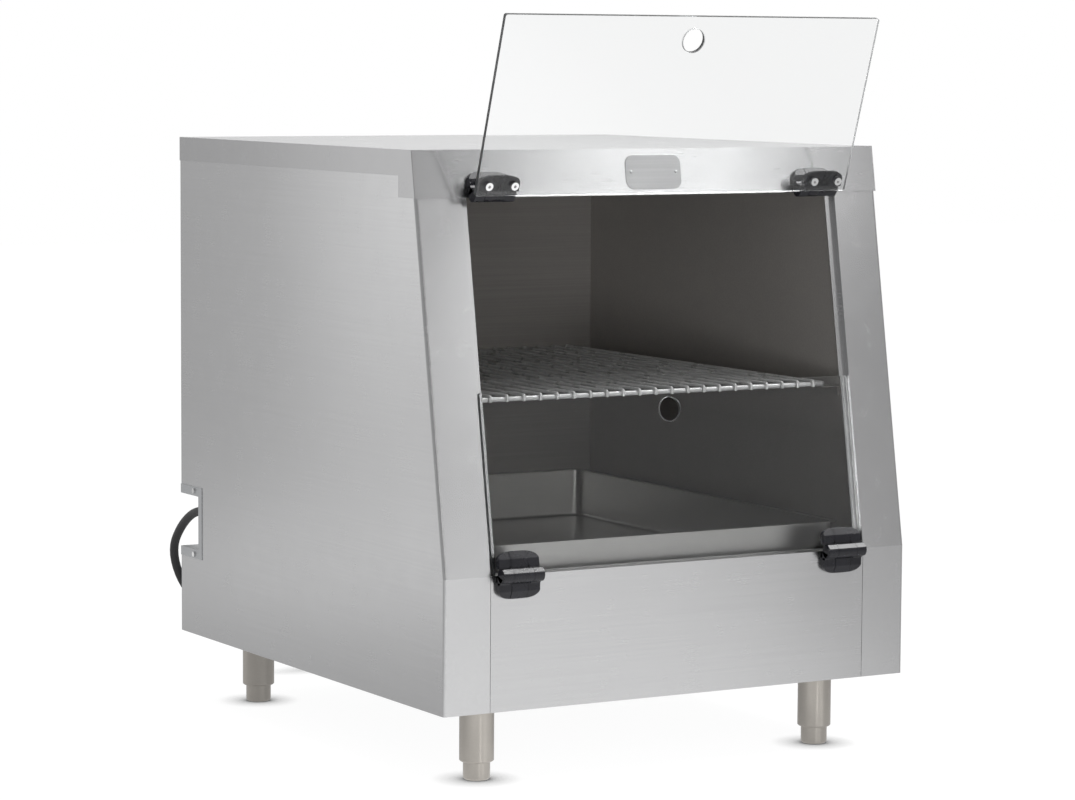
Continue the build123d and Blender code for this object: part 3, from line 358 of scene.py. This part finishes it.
# Materials of the solids
body_steel = brushed_steel("body_steel", (0.58, 0.58, 0.585), "y", (0.25, 0.27), aniso=0.7)
cap_steel = brushed_steel("cap_steel", (0.56, 0.56, 0.565), "x", (0.25, 0.27), aniso=0.75)
plain_steel = brushed_steel("plain_steel", (0.50, 0.51, 0.52), "x", (0.36, 0.44))
# The liner's steel is darker and less metallic than the body's: painted shade for the dark room
# that the stainless liner reflects
liner_steel = brushed_steel("liner_steel", (0.325, 0.31, 0.295), "x", (0.36, 0.44), 0.05, 0.45)
round_steel = {"along": "x", "rough": (0.32, 0.38), "aniso": 0.85, "turn": "round"}
leg_steel = brushed_steel("leg_steel", (0.52, 0.49, 0.45), **round_steel)
foot_steel = brushed_steel("foot_steel", (0.52, 0.49, 0.45), **round_steel)
# The pan's real steel colour, darkened a little as painted shade, since the pan sits in the shaded
# lower bay
pan_steel = brushed_steel("pan_steel", (0.46, 0.455, 0.445), "x", (0.30, 0.32))
painted_shade_along(cap_steel, "Normal", (1.0, 0.0, 0.0), 0.5, 0.9, (1.0, 0.85))  # painted shade: side flanges darker than the top and fascia
painted_shade_along(liner_steel, "Object", (0.0, 0.0, 1.0), 0.43, 0.51, (0.62, 1.0))  # painted shade: the liner darker towards the bottom, in the lower bay
chrome_steel = brushed_steel("chrome_steel", (0.56, 0.56, 0.56), "x", (0.26, 0.32), 0.02, 0.30)
bright_steel = brushed_steel("bright_steel", (0.82, 0.82, 0.82), "x", (0.12, 0.18), 0.02)
element_steel = brushed_steel("element_steel", (0.12, 0.11, 0.10), "x", (0.4, 0.55), 0.06)
hinge_black = moulded("hinge_black", (0.008, 0.008, 0.011), (0.24, 0.30), 1400.0, 0.08)
hinge_black.node_tree.nodes["Principled BSDF"].inputs["Specular IOR Level"].default_value = 0.35
control_black = moulded("control_black", (0.020, 0.020, 0.021))
relief_black = moulded("relief_black", (0.018, 0.018, 0.018), (0.4, 0.5))
control_body = moulded("control_body", (0.55, 0.54, 0.50))
terminal_white = moulded("terminal_white", (0.70, 0.70, 0.67))
wool = moulded("insulation_wool", (0.50, 0.44, 0.30), (0.8, 0.95), 300.0, 1.0)


# A sheet's faces turn at least this much towards its facing, and its edges at most this much
face_from, edge_from = 0.95, 0.5


def clear_plastic(name, facing):
    """Clear sheet with faint smears, rough sawn edges, and painted shade that greys the edges
    where it doesn't face one way.
    """
    mat, tree, shader = new_material(name)
    shader.inputs["Transmission Weight"].default_value = 1.0
    shader.inputs["IOR"].default_value = 1.49
    shader.inputs["Specular IOR Level"].default_value = 0.08
    coords = add_node(tree, "ShaderNodeTexCoord")
    turned = compare_vectors(tree, "DOT_PRODUCT", coords.outputs["Normal"], facing)
    flat = calculate(tree, "ABSOLUTE", turned)
    # The edges' grey is painted shade, for the dark that the edges show by refraction
    tints_and_edge_shade = ((edge_from, (0.38, 0.40, 0.41)), (face_from, (0.93, 0.935, 0.935)))
    tint_and_edge_shade = ramp(tree, flat, tints_and_edge_shade)
    tree.links.new(tint_and_edge_shade, shader.inputs["Base Color"])
    smears = noise(tree, object_coords(tree, (1.0, 1.0, 3.0)), 9.0, 5.0, 0.65)
    sawn = ramp(tree, flat, ((edge_from, grey(0.5)), (face_from, grey(0.0))))
    rough = calculate(tree, "MAXIMUM", spread(tree, smears, 0.0, 0.03), sawn)
    tree.links.new(rough, shader.inputs["Roughness"])
    return mat


upper_clear = clear_plastic("upper_door_clear", (0.0, 0.948, 0.318))
lower_clear = clear_plastic("lower_door_clear", (0.0, -0.986, 0.166))

by_slot = {
    "body_steel": body_steel,
    "plain_steel": plain_steel,
    "liner_steel": liner_steel,
    "insulation": wool,
    "clear_sheet": lower_clear,
    "hinge_black": hinge_black,
    "fastener_steel": bright_steel,
    "leg_steel": leg_steel,
    "foot_steel": foot_steel,
    "shelf_chrome": chrome_steel,
    "pan_steel": pan_steel,
    "cord_black": rubber,
    "relief_black": relief_black,
    "element_steel": element_steel,
    "control_body": control_body,
    "terminal_white": terminal_white,
    "control_black": control_black,
}
for entry in frame["record"]["subparts"]:
    set_material(nodes[entry["node"]], by_slot[entry["material_slot"]])
set_material(nodes["top_cap"], cap_steel)
set_material(nodes["lower_front_panel"], cap_steel)
set_material(nodes["upper_door"], upper_clear)

# A blank plate on the fascia, with two small rivets
front_lean = math.radians(9.565)  # of the fascia and the lower door, from upright
plate_middle = Vector((0.0, -0.31625, 0.7945))
plate_width = 0.086
plate_height = 0.046
plate_corner = 0.012
corner_steps = 8
plate_thick = 0.0014
rivet_inset = 0.008
rivet_radius = 0.0022


def plate_outline(width, height, corner):
    """Points of a rounded rectangle, anticlockwise from its right side."""
    points = []
    for quarter in range(4):
        sign_x = 1 if quarter in (0, 3) else -1
        sign_y = 1 if quarter in (0, 1) else -1
        for n in range(corner_steps + 1):
            angle = math.pi / 2 * (quarter + n / corner_steps)
            points.append(
                (
                    sign_x * (width / 2 - corner) + corner * math.cos(angle),
                    sign_y * (height / 2 - corner) + corner * math.sin(angle),
                )
            )
    return points


shape = bmesh.new()
outline = plate_outline(plate_width, plate_height, plate_corner)
shape.faces.new([shape.verts.new((x, y, 0.0)) for x, y in outline])
raised = bmesh.ops.extrude_face_region(shape, geom=shape.faces[:])
top = [v for v in raised["geom"] if isinstance(v, bmesh.types.BMVert)]
bmesh.ops.translate(shape, verts=top, vec=(0.0, 0.0, plate_thick))
bmesh.ops.recalc_face_normals(shape, faces=shape.faces[:])
for side in (-1, 1):
    centre = Matrix.Translation((side * (plate_width / 2 - rivet_inset), 0.0, plate_thick))
    squashed = centre @ Matrix.Diagonal((1.0, 1.0, 0.5, 1.0))
    bmesh.ops.create_uvsphere(
        shape, u_segments=24, v_segments=12, radius=rivet_radius, matrix=squashed
    )
plate_mesh = bpy.data.meshes.new("blank_plate")
shape.to_mesh(plate_mesh)
shape.free()
plate = bpy.data.objects.new("blank_plate", plate_mesh)
plate.matrix_world = Matrix.Translation(plate_middle) @ Matrix.Rotation(
    math.pi / 2 - front_lean, 4, "X"
)
round_edges(plate, 0.0004, 40)
scene.collection.objects.link(plate)
plate_steel = brushed_steel("plate_steel", (0.50, 0.50, 0.505), "x", (0.34, 0.42), 0.04)
set_material(plate, plate_steel)
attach(plate, "body")

# Hinge leaves: arched ends, long bevels, a raised cap and a flat along the barrel.
# Each leaf is drawn in its own frame: y away from the axis, z outward from the mounting face.
hinge_xs = (-0.253, 0.253)
leaf_half = 0.030
leaf_side = 0.0205
leaf_reach = 0.032
leaf_start = 0.0097
leaf_top = -0.0035
leaf_steps = 12
arch_power = 3
arch_root = 0.45
bevel_start = 0.0215
bevel_slope = 0.52
bevel_least = 0.0002
cap_half = 0.012
cap_slit = 0.0005
cap_floor = 0.0014
cap_lift = 0.0005
cap_inset = 0.0009
cap_setback = 0.0015
barrel_radius = 0.0095
barrel_steps = 72
flat_half_angle = 22
knuckle_half = 0.015
knuckle_gap = 0.0004
web_overlap = 0.003
# The lean of the barrel's flat in degrees and the inner corner of its web, for each kind
fixed_knuckle = (-47.5, (0.004, 0.004))
moving_knuckle = (38, (0.002, leaf_top))


def loft(shape, rings):
    """A closed skin through rings that have equally many points."""
    loops = [[shape.verts.new(point) for point in ring] for ring in rings]
    for one, two in zip(loops, loops[1:]):
        for n in range(len(one)):
            m = (n + 1) % len(one)
            shape.faces.new((one[n], one[m], two[m], two[n]))
    shape.faces.new(loops[0][::-1])
    shape.faces.new(loops[-1])


def leaf_end(x):
    """How far the arched end of a leaf reaches at a place along its width."""
    along = min(1.0, abs(x) / leaf_half)
    return leaf_side + (leaf_reach - leaf_side) * (1 - along**arch_power) ** arch_root


def leaf_block(shape, low_x, high_x, face, lift, start, inset):
    """The part of a leaf between two places, with its top raised or lowered."""
    rings = []
    low_turn = math.asin(low_x / leaf_half)
    high_turn = math.asin(high_x / leaf_half)
    for n in range(leaf_steps + 1):
        x = leaf_half * math.sin(low_turn + (high_turn - low_turn) * n / leaf_steps)
        end = leaf_end(x) - inset
        top = leaf_top + lift
        turn = min(bevel_start, end - bevel_least)
        low = top - bevel_slope * (end - turn)
        section = [(start, face), (end, face), (end, low), (turn, top), (start, top)]
        rings.append([(x, y, z) for y, z in section])
    loft(shape, rings)


def knuckle(shape, low_x, high_x, lean, web_point):
    """A length of barrel with its flat, and the web that joins it to the leaf."""
    section = []
    for n in range(barrel_steps):
        angle = 360 / barrel_steps * n
        off = (angle - lean + 180) % 360 - 180
        if abs(off) >= flat_half_angle:
            section.append((math.sin(math.radians(angle)), math.cos(math.radians(angle))))
    loft(
        shape,
        [[(x, barrel_radius * y, barrel_radius * z) for y, z in section] for x in (low_x, high_x)],
    )
    web_end = leaf_start + web_overlap
    web = [(0.0, -barrel_radius), (web_end, -barrel_radius), (web_end, leaf_top), web_point]
    loft(shape, [[(x, y, z) for y, z in web] for x in (low_x, high_x)])


def hinge_leaves(name, body, origin, away, outward, face, fixed, replaced):
    """Both leaves of one row, with their caps, as one piece that rides on a body."""
    shape = bmesh.new()
    inner = cap_half + cap_slit
    leaf_block(shape, -leaf_half, -inner, face, 0.0, leaf_start, 0.0)
    leaf_block(shape, inner, leaf_half, face, 0.0, leaf_start, 0.0)
    leaf_block(shape, -inner, inner, face, -cap_floor, leaf_start, 0.0)
    leaf_block(shape, -cap_half, cap_half, face, cap_lift, leaf_start + cap_setback, cap_inset)
    if fixed:
        for side in (-1, 1):
            ends = sorted((side * (knuckle_half + knuckle_gap), side * leaf_half))
            knuckle(shape, *ends, *fixed_knuckle)
    else:
        knuckle(shape, -knuckle_half, knuckle_half, *moving_knuckle)
    bmesh.ops.recalc_face_normals(shape, faces=shape.faces[:])
    away = Vector(away)
    outward = Vector(outward)
    turn = Matrix((away.cross(outward), away, outward)).transposed().to_4x4()
    both = bmesh.new()
    for hinge_x in hinge_xs:
        copy = shape.copy()
        place = Matrix.Translation(Vector(origin) + Vector((hinge_x, 0.0, 0.0)))
        bmesh.ops.transform(copy, matrix=place @ turn, verts=copy.verts[:])
        placed = bpy.data.meshes.new(name + "_placed")
        copy.to_mesh(placed)
        copy.free()
        both.from_mesh(placed)
        bpy.data.meshes.remove(placed)
    shape.free()
    mesh = bpy.data.meshes.new(name)
    both.to_mesh(mesh)
    both.free()
    obj = bpy.data.objects.new(name, mesh)
    round_edges(obj, 0.0005, 18)
    scene.collection.objects.link(obj)
    set_material(obj, hinge_black)
    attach(obj, body)
    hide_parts(*replaced)


def leaf_nodes(row, kind):
    """The nodes that a row of leaves stands for."""
    leaves = [f"{row}_{side}_hinge_{kind}_leaf" for side in ("left", "right")]
    return [*leaves, f"{row}_hinge_{kind}_caps"]


# The face that a leaf lies on, from the axis
fascia_face = -0.0108
other_face = -0.012

slope_up = (0.0, math.sin(front_lean), math.cos(front_lean))
slope_out = (0.0, -math.cos(front_lean), math.sin(front_lean))
upper_axis = (0.0, -0.33170, 0.767566)
lower_axis = (0.0, -0.41375, 0.280604)
hinge_leaves(
    "upper_fixed_leaves",
    "body",
    upper_axis,
    slope_up,
    slope_out,
    fascia_face,
    True,
    leaf_nodes("upper", "fixed"),
)
hinge_leaves(
    "upper_moving_leaves",
    "upper_door_body",
    upper_axis,
    (0.0, -0.3162, 0.9487),
    (0.0, 0.9487, 0.3162),
    other_face,
    False,
    leaf_nodes("upper", "moving"),
)
hinge_leaves(
    "lower_fixed_leaves",
    "body",
    lower_axis,
    (0.0, 0.0, -1.0),
    (0.0, -1.0, 0.0),
    other_face,
    True,
    leaf_nodes("lower", "fixed"),
)
hinge_leaves(
    "lower_moving_leaves",
    "lower_door_body",
    lower_axis,
    slope_up,
    slope_out,
    other_face,
    False,
    leaf_nodes("lower", "moving"),
)


# Floor, world and lamps
def seen_directly(tree, light_path):
    """One for camera rays, also through the clear doors, and nought after a reflection."""
    unreflected = calculate(tree, "LESS_THAN", light_path.outputs["Glossy Depth"], 0.5)
    transmitted = light_path.outputs["Is Transmission Ray"]
    through = calculate(tree, "MULTIPLY", transmitted, unreflected)
    return calculate(tree, "MAXIMUM", light_path.outputs["Is Camera Ray"], through)


floor_half = 12.0
floor_gap = 0.0005  # below the feet, so that no faces coincide
pool_reach = 4.0
glow_strength = 1.1
glow_share = 0.85
contact_shadow_reach = 0.045


def light_pool(tree, place, centre, stops):
    """The floor's tone in reflections, by the distance from a point in metres."""
    away = compare_vectors(tree, "DISTANCE", place.outputs["Position"], centre)
    part = calculate(tree, "DIVIDE", away, pool_reach)
    return ramp(tree, part, [(reach / pool_reach, grey(tone)) for reach, tone in stops])


floor_mesh = bpy.data.meshes.new("floor")
floor_shape = bmesh.new()
bmesh.ops.create_grid(floor_shape, x_segments=8, y_segments=8, size=floor_half)
floor_shape.to_mesh(floor_mesh)
floor_shape.free()
floor = bpy.data.objects.new("floor", floor_mesh)
floor.location.z = -floor_gap
scene.collection.objects.link(floor)
floor_mat, tree, shader = new_material("floor")
shader.inputs["Base Color"].default_value = (0.9, 0.9, 0.9, 1.0)
shader.inputs["Roughness"].default_value = 0.9
shader.inputs["Specular IOR Level"].default_value = 0.0
light_path = add_node(tree, "ShaderNodeLightPath")
glossy_ray = light_path.outputs["Is Glossy Ray"]
place = add_node(tree, "ShaderNodeNewGeometry")
front_pool = light_pool(
    tree,
    place,
    (-0.3, -1.35, 0.0),
    ((0.85, 1.1), (1.0, 0.92), (1.15, 0.62), (1.35, 0.48), (3.9, 0.46)),
)
side_pool = light_pool(
    tree,
    place,
    (-1.75, 1.35, 0.0),
    ((0.4, 1.15), (0.7, 0.95), (1.10, 0.48), (3.9, 0.46)),
)
pool = mixed(tree, 1.0, front_pool, side_pool, "LIGHTEN")
# Painted contact shadow: the floor's colour darkened by ambient occlusion where the feet stand on
# it
contact_occlusion = add_node(
    tree, "ShaderNodeAmbientOcclusion", {"Distance": contact_shadow_reach}, samples=6
)
contact_shadow = ramp(
    tree, contact_occlusion.outputs["AO"], ((0.45, grey(0.10)), (0.70, grey(0.55)), (0.97, grey(1.0)))
)
glow = add_node(tree, "ShaderNodeEmission", {"Strength": glow_strength})
tree.links.new(mixed(tree, glossy_ray, contact_shadow, pool), glow.inputs["Color"])
glowing = calculate(tree, "MAXIMUM", seen_directly(tree, light_path), glossy_ray)
share = calculate(tree, "MULTIPLY", glowing, glow_share)
blend = add_node(tree, "ShaderNodeMixShader")
tree.links.new(share, blend.inputs[0])
tree.links.new(shader.outputs[0], blend.inputs[1])
tree.links.new(glow.outputs[0], blend.inputs[2])
tree.links.new(blend.outputs[0], tree.nodes["Material Output"].inputs["Surface"])
floor.data.materials.append(floor_mat)

world = bpy.data.worlds.new("world")
scene.world = world
world.use_nodes = True
tree = world.node_tree
background = tree.nodes["Background"]
coords = add_node(tree, "ShaderNodeTexCoord")
brightest_way = (0.2, 0.97, 0.1)
facing = compare_vectors(tree, "DOT_PRODUCT", coords.outputs["Generated"], brightest_way)
studio = ramp(
    tree,
    span(tree, facing, -1.0, 1.0),
    ((0.0, grey(0.34)), (0.45, grey(0.42)), (0.90, grey(0.55)), (0.98, grey(0.85))),
)
light_path = add_node(tree, "ShaderNodeLightPath")
sky = mixed(tree, light_path.outputs["Is Glossy Ray"], grey(0.62), studio)
sky = mixed(tree, seen_directly(tree, light_path), sky, grey(1.0))
tree.links.new(sky, background.inputs["Color"])
background.inputs["Strength"].default_value = 1.0


def lamp(name, place, target, width, height, power, glossy=True, diffuse=True, edge=2.0):
    """A rectangular lamp that faces a point and fades outwards, later with a higher edge."""
    data = bpy.data.lights.new(name, "AREA")
    data.shape = "RECTANGLE"
    data.size = width
    data.size_y = height
    data.energy = power
    data.use_nodes = True
    tree = data.node_tree
    where = add_node(tree, "ShaderNodeNewGeometry")
    split = add_node(tree, "ShaderNodeSeparateXYZ")
    tree.links.new(where.outputs["Parametric"], split.inputs[0])
    domes = []
    for direction in ("X", "Y"):
        off_middle = calculate(tree, "SUBTRACT", split.outputs[direction], 0.5)
        steep = calculate(tree, "POWER", off_middle, edge)
        domes.append(
            calculate(tree, "MULTIPLY_ADD", steep, -(2.0**edge), 1.0, use_clamp=True)
        )
    strength = calculate(tree, "MULTIPLY", *domes)
    tree.links.new(strength, tree.nodes["Emission"].inputs["Strength"])
    obj = bpy.data.objects.new(name, data)
    place = Vector(place)
    obj.location = place
    obj.rotation_euler = (Vector(target) - place).to_track_quat("-Z", "Y").to_euler()
    obj.visible_glossy = glossy
    obj.visible_diffuse = diffuse
    scene.collection.objects.link(obj)


lamp("fascia_lamp", (1.395, -2.43, 1.46), (0.0, -0.32, 0.79), 0.63, 0.5, 4.5, edge=4.0)
lamp("low_front_lamp", (0.70, -2.3, 0.36), (-0.2, -0.4, 0.4), 1.6, 0.6, 3.0)
lamp("side_lamp", (-1.54, 1.75, 0.75), (-0.36, -0.3, 0.5), 0.62, 1.3, 1.9)
lamp("strip_lamp", (-0.42, -3.6, 0.7), (-0.2, -0.4, 0.3), 0.32, 1.7, 9.0)
lamp("edge_lamp", (1.5, -0.5, 2.8), (0.0, -0.3, 0.5), 1.6, 2.8, 200.0, diffuse=False)
lamp("high_lamp", (1.4, -1.1, 2.6), (0.0, -0.2, 0.5), 1.0, 0.8, 45.0, glossy=False)
lamp("top_lamp", (-0.6, 0.2, 3.2), (0.0, 0.0, 0.5), 2.4, 2.0, 42.0, glossy=False)
lamp("fill_lamp", (-1.7, -3.3, 1.5), (0.0, 0.2, 0.5), 1.2, 1.2, 27.0, glossy=False)
lamp("low_fill_lamp", (-2.05, -3.1, 0.30), (0.1, 0.1, 0.5), 1.0, 0.5, 76.0, glossy=False)
